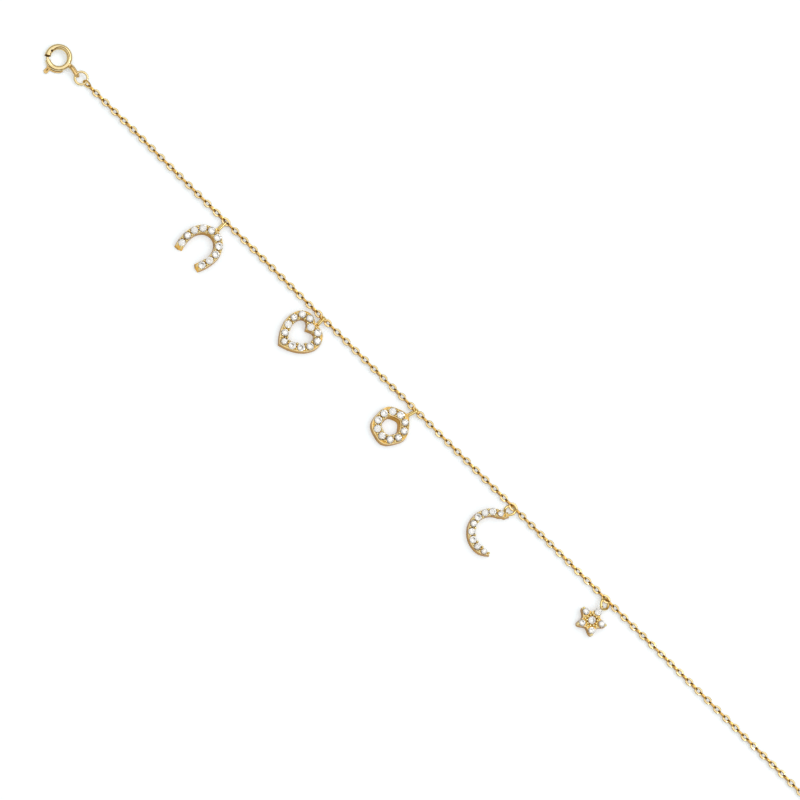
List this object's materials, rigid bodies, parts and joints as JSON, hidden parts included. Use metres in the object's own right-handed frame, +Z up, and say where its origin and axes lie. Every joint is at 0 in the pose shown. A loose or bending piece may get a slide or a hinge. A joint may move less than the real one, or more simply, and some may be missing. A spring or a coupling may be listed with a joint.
{
  "type": "charm anklet",
  "caption": "Fine cable chain laid out open, with stone-set horseshoe, heart, circle, moon and star charms, a spring-ring clasp and a plain end ring.",
  "frame": {"origin": "middle of the footprint of the anklet as it lies, on the surface under it", "axes": "+X along the chain from the clasp to the end ring, +Y across it away from the charms, +Z up from the surface"},
  "size_m": [0.2542, 0.0136, 0.0019],
  "materials": {
    "gold": "polished",
    "stone": "clear"
  },
  "bodies": {
    "anklet": {"chain": "gold", "clasp_tube": "gold", "clasp_jump_ring": "gold", "horseshoe_charm": "gold", "horseshoe_bail": "gold", "heart_charm": "gold", "heart_bail": "gold", "circle_charm": "gold", "circle_bail": "gold", "moon_charm": "gold", "moon_bail": "gold", "star_charm": "gold", "star_bail": "gold", "end_ring": "gold"},
    "trigger": {"clasp_trigger": "gold"}
  },
  "joints": [
    {"name": "clasp_trigger_slide", "type": "hinge", "parent": "anklet", "child": "trigger", "pos_m": [-0.12449, 0.00419, 0.0009], "axis": [0, -0.1736, 0.9848], "range_deg": [0, 28], "stiffness_Nm_per_rad": 0.00001, "springref_deg": -22.92}
  ]
}
